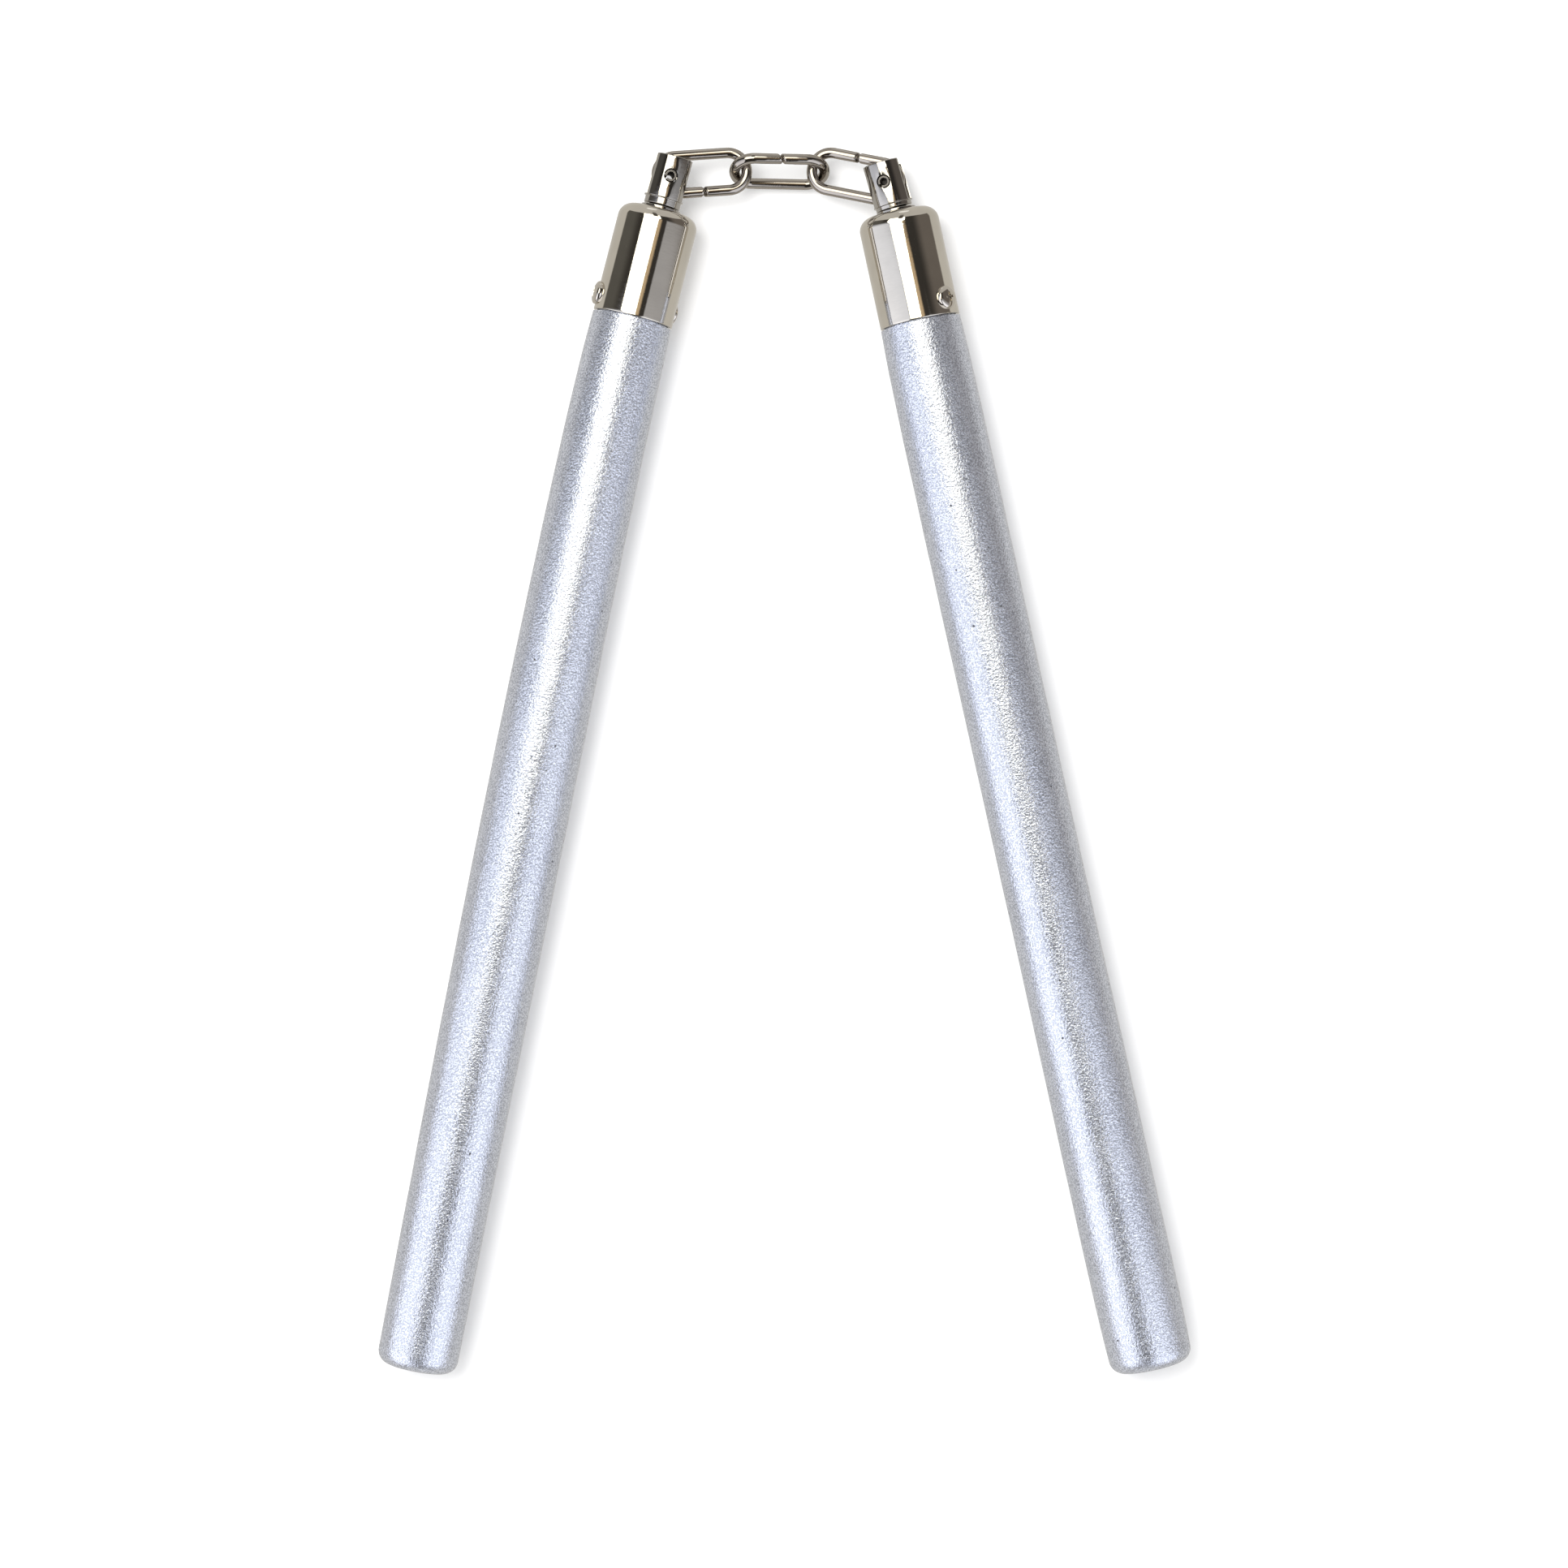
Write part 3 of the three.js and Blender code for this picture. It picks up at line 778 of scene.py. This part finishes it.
def make_side(name, side):
    lean = turn(side["lean"], "Z")
    swivel = move(side["shift"], CAP_LENGTH) @ turn(side["tilt"], "Z")
    ring = swivel @ Vector((0, BALL_HEIGHT - CAP_LENGTH, 0))
    balls = centre_of(*[f"{name}_bearing_ball_{i + 1}" for i in range(BALL_COUNT)])
    matrix = Matrix.Translation(balls - lean @ ring) @ lean
    make_handle(name, side, matrix)
    make_cap(name, matrix)
    for number, angle in enumerate(side["screws"], 1):
        make_screw(name, number, angle, matrix)
    make_washer(name, matrix)
    moving = matrix @ swivel @ move(0, side["lift"]) @ turn(side["spin"], "Y")
    make_yoke(name, side, moving)
    make_pin(name, moving)
    hanging = moving @ move(0, PIN_HEIGHT) @ turn(side["swing"], "Z")
    slack = move(side["slack"][0] + LINK_STRAIGHT / 2, side["slack"][1])
    make_link(f"{name}_end_link", hanging @ slack @ turn(side["roll"], "X"), f"{name}_link", -1)


def dress_bearings(frame):
    """The bearing inside each cap keeps its CAD shape and gets a steel finish."""
    for name, node in frame["nodes"].items():
        if any(word in name for word in ("race", "ball", "nut")):
            node.data.materials.clear()
            node.data.materials.append(BEARING_STEEL)


# ---- studio ----

TENT_RADIUS = 0.9
TENT_LENGTH = 12.0
TENT_SIDES = 96
TENT_AXIS_HEIGHT = 0.011

# what hangs or stands in the tent; a value over 1 is a light, and near means towards the butts
DARK = (0.048, 0.044, 0.04)
LEFT_HAZE = (0.12, 0.115, 0.105)
RIGHT_HAZE = (0.17, 0.15, 0.135)
LEFT_BOX_NEAR = (1.55, 1.58, 1.72)
LEFT_BOX_FAR = (0.98, 1.02, 1.14)
RIGHT_BOX_NEAR = (1.4, 1.44, 1.58)
RIGHT_BOX_FAR = (0.46, 0.46, 0.48)
RIGHT_BOX_SLANT = 0.0033
FRINGE = (0.66, 0.5, 0.32)
STRIP = (3.8, 3.7, 3.3)
NEAR_CARD = (0.17, 0.16, 0.15)
FAR_CARD = (0.62, 0.60, 0.57)
FAR_GAP = (0.10, 0.09, 0.08)
TABLE = (0.64, 0.62, 0.58)
BRIGHT_EDGE = (0.62, 0.58, 0.53)
DARK_EDGE = (0.21, 0.185, 0.15)


def tent_material():
    """What the metal mirrors: an overhead strip light, a softbox on each side, dark gaps, pale table.

    The pattern goes by the angle round the Y axis from straight up, in degrees, to the right positive,
    and by the distance along Y, in metres. A band has a start, an end and how soft each is.
    """
    material, shader = new_material("studio_surroundings")
    x, y, z = shader.split(shader.place())
    angle = shader.math("DEGREES", shader.math("ARCTAN2", x, z))
    height = shader.math("ABSOLUTE", angle)

    def rise(start, end, value=y):
        return shader.step(value, start, end)

    def fall(start, end, value=y):
        return shader.step(value, start, end, 1.0, 0.0)

    def both(first, second):
        return shader.math("MULTIPLY", first, second)

    def band(start, end, soft_start, soft_end, value=angle):
        rising = rise(start - soft_start, start + soft_start, value)
        return both(rising, fall(end - soft_end, end + soft_end, value))

    def past(start, end, near_edge, far_edge):
        """The angle past an edge that goes aslant from near_edge to far_edge between two distances."""
        return shader.math("SUBTRACT", angle, shader.step(y, start, end, near_edge, far_edge))

    color = shader.mix(band(-100, -56, 6, 14), DARK, LEFT_HAZE)
    color = shader.mix(band(48, 100, 14, 4), color, RIGHT_HAZE)

    # the box on the left, brighter towards the butts
    left_light = shader.mix(rise(-0.2, 0.12), LEFT_BOX_NEAR, LEFT_BOX_FAR)
    color = shader.mix(both(band(-90, -27, 2, 3), fall(0.1, 0.39)), color, left_light)

    # the box on the right, whose rows run aslant
    row = shader.math("ADD", y, shader.math("MULTIPLY", angle, RIGHT_BOX_SLANT))
    right_box = both(band(0, 90, 2.5, 1, past(-0.12, 0.06, 16.0, 29.0)), band(0, 86, 1, 2))
    right_light = shader.mix(rise(-0.1, 0.2, row), RIGHT_BOX_NEAR, RIGHT_BOX_FAR)
    color = shader.mix(both(right_box, fall(0.22, 0.42, row)), color, right_light)

    # the strip overhead, with a warm fringe on its right
    strip_rows = rise(-0.05, 0.14)
    fringe = both(band(3, 14.5, 1, 3), fall(0.28, 0.36))
    color = shader.mix(both(fringe, strip_rows), color, FRINGE)
    past_left = band(0, 90, 1, 1, past(0.1, 0.4, -26.0, -37.5))
    short_of_right = band(-90, 0, 1, 1, past(0.28, 0.4, 5.0, 14.0))
    color = shader.mix(both(both(past_left, short_of_right), strip_rows), color, STRIP)

    # grey cards past both ends, and a dark gap in the middle of the far one
    color = shader.mix(fall(-1.9, -1.2), color, NEAR_CARD)
    color = shader.mix(rise(0.76, 0.84), color, FAR_CARD)
    color = shader.mix(both(band(-8, 8, 2, 2), band(0.6, 1.5, 0.03, 0.5, y)), color, FAR_GAP)

    # the table, down from its far edge, which has a bright line above a dark one
    color = shader.mix(rise(96, 102, height), color, TABLE)
    edge_rows = fall(0.14, 0.3)
    color = shader.mix(both(band(87, 96, 1.5, 1.5, height), edge_rows), color, BRIGHT_EDGE)
    color = shader.mix(both(band(96, 104, 1.5, 2, height), edge_rows), color, DARK_EDGE)
    shader.glow(color)
    material.cycles.emission_sampling = "NONE"
    return material


def hide_but_in_mirrors(thing):
    """Leaves the object to glossy rays alone."""
    thing.visible_camera = False
    thing.visible_diffuse = False
    thing.visible_shadow = False
    thing.visible_transmission = False


def make_tent():
    """A long tube round the scene that only reflections see."""
    vertices = []
    for y in (-TENT_LENGTH / 2, TENT_LENGTH / 2):
        for i in range(TENT_SIDES):
            angle = 2 * math.pi * i / TENT_SIDES
            x = TENT_RADIUS * math.sin(angle)
            z = TENT_RADIUS * math.cos(angle)
            vertices.append((x / MM, y / MM, z / MM))
    faces = []
    for i in range(TENT_SIDES):
        j = (i + 1) % TENT_SIDES
        faces.append((i, j, j + TENT_SIDES, i + TENT_SIDES))
    tent = mesh_object("studio_surroundings", vertices, faces)
    tent.data.materials.append(tent_material())
    tent.location = (0, 0, TENT_AXIS_HEIGHT)
    hide_but_in_mirrors(tent)
    tent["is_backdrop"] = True


FLOOR_HALF = 3.0
FLOOR_DROP = 0.0003
FLOOR_COLOR = (0.86, 0.86, 0.86)
FLOOR_ROUGHNESS = 0.9
SHADE_RADIUS = 4.8
SHADE_SIDES = 32
SHADE_COLOR = (0.03, 0.028, 0.026)


def make_floor():
    size = FLOOR_HALF / MM
    drop = -FLOOR_DROP / MM
    corners = [(-size, -size, drop), (size, -size, drop), (size, size, drop), (-size, size, drop)]
    floor = mesh_object("floor", corners, [(0, 1, 2, 3)])
    material, shader = new_material("pale_floor")
    shader.surface(FLOOR_COLOR, FLOOR_ROUGHNESS, 0.0)
    floor.data.materials.append(material)
    floor.visible_glossy = False
    floor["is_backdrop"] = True


def make_shade(name):
    """The shadow right under a yoke, as the metal mirrors it. Only reflections see it."""
    under = centre_of(f"{name}_yoke_pin")
    disc = turned([(0, 0), (SHADE_RADIUS, 0)], SHADE_SIDES)
    shade = mesh_object(f"{name}_yoke_shade", *disc)
    shade.data.transform(Matrix.Translation((under.x * MM, under.y * MM, 0)) @ turn(90, "X"))
    material, shader = new_material("yoke_shade")
    shader.glow(SHADE_COLOR)
    material.cycles.emission_sampling = "NONE"
    shade.data.materials.append(material)
    hide_but_in_mirrors(shade)
    shade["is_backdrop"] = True


WORLD_STRENGTH = 1.15
KEY_SIZE = 0.7
KEY_POWER = 13
KEY_COLOR = (1.0, 0.99, 0.98)
KEY_PLACE = (-0.38, 0.25, 1.3)


def make_lights():
    """An even white surround, and a key lamp above and to the left, for the shadows."""
    world = bpy.data.worlds.new("studio")
    bpy.context.scene.world = world
    world.use_nodes = True
    background = world.node_tree.nodes["Background"]
    background.inputs["Color"].default_value = (1, 1, 1, 1)
    background.inputs["Strength"].default_value = WORLD_STRENGTH
    lamp = bpy.data.lights.new("key", "AREA")
    lamp.shape = "DISK"
    lamp.size = KEY_SIZE
    lamp.energy = KEY_POWER
    lamp.color = KEY_COLOR
    key = bpy.data.objects.new("key", lamp)
    bpy.context.scene.collection.objects.link(key)
    key.location = KEY_PLACE
    key.rotation_euler = (-key.location).to_track_quat("-Z", "Y").to_euler()
    key.visible_glossy = False
    key.visible_camera = False


CAMERA_HEIGHT = 1.17
FRAME_WIDTH = 0.4034
SENSOR = 36
AIM = (-0.0001, -0.0063, 0.011)


def make_camera():
    """Straight above the object, with the chain at the top of the picture."""
    data = bpy.data.cameras.new("camera")
    data.sensor_width = SENSOR
    data.lens = SENSOR * CAMERA_HEIGHT / FRAME_WIDTH
    camera = bpy.data.objects.new("camera", data)
    bpy.context.scene.collection.objects.link(camera)
    camera.location = (AIM[0], AIM[1], AIM[2] + CAMERA_HEIGHT)
    bpy.context.scene.camera = camera


# ---- everything ----

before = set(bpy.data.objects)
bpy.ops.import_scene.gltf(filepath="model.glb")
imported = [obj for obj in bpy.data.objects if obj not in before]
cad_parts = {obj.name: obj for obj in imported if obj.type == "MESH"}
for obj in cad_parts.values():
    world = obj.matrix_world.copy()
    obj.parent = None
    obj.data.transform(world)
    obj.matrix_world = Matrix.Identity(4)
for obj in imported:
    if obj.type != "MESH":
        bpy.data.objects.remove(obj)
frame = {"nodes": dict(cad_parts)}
cad_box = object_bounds()

PAINT = paint_material()
CAP_NICKEL = nickel_material("cap_nickel", (0.70, 0.66, 0.59), 0.000008)
YOKE_NICKEL = nickel_material("yoke_nickel", (0.47, 0.45, 0.42), 0.000012)
SCREW_NICKEL = nickel_material("screw_nickel", (0.66, 0.62, 0.56), 0.000004)
LINK_NICKEL = nickel_material("link_nickel", (0.40, 0.365, 0.325), 0.000004)
# Steel for the spring pin, made dark as painted shade for the inside of its bore.
PIN_STEEL_WITH_PAINTED_SHADE = steel_material("pin_steel", (0.22, 0.205, 0.19), 0.4)
BEARING_STEEL = steel_material("bearing_steel", (0.56, 0.57, 0.58), 0.2)

for side_name, side_values in SIDES.items():
    make_side(side_name, side_values)
middle = Matrix.Translation(centre_of("middle_link"))
middle = middle @ turn(MIDDLE_YAW, "Z") @ turn(MIDDLE_PITCH, "Y") @ turn(MIDDLE_ROLL, "X")
make_link("middle_link", middle, "middle_link", 1)
dress_bearings(frame)

make_floor()
for side_name in SIDES:
    make_shade(side_name)
make_tent()
make_lights()
make_camera()
bpy.context.scene.view_settings.view_transform = "Standard"

boxes = {"cad": cad_box, "visual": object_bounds()}
{name: [list(corner) for corner in box] for name, box in boxes.items()}
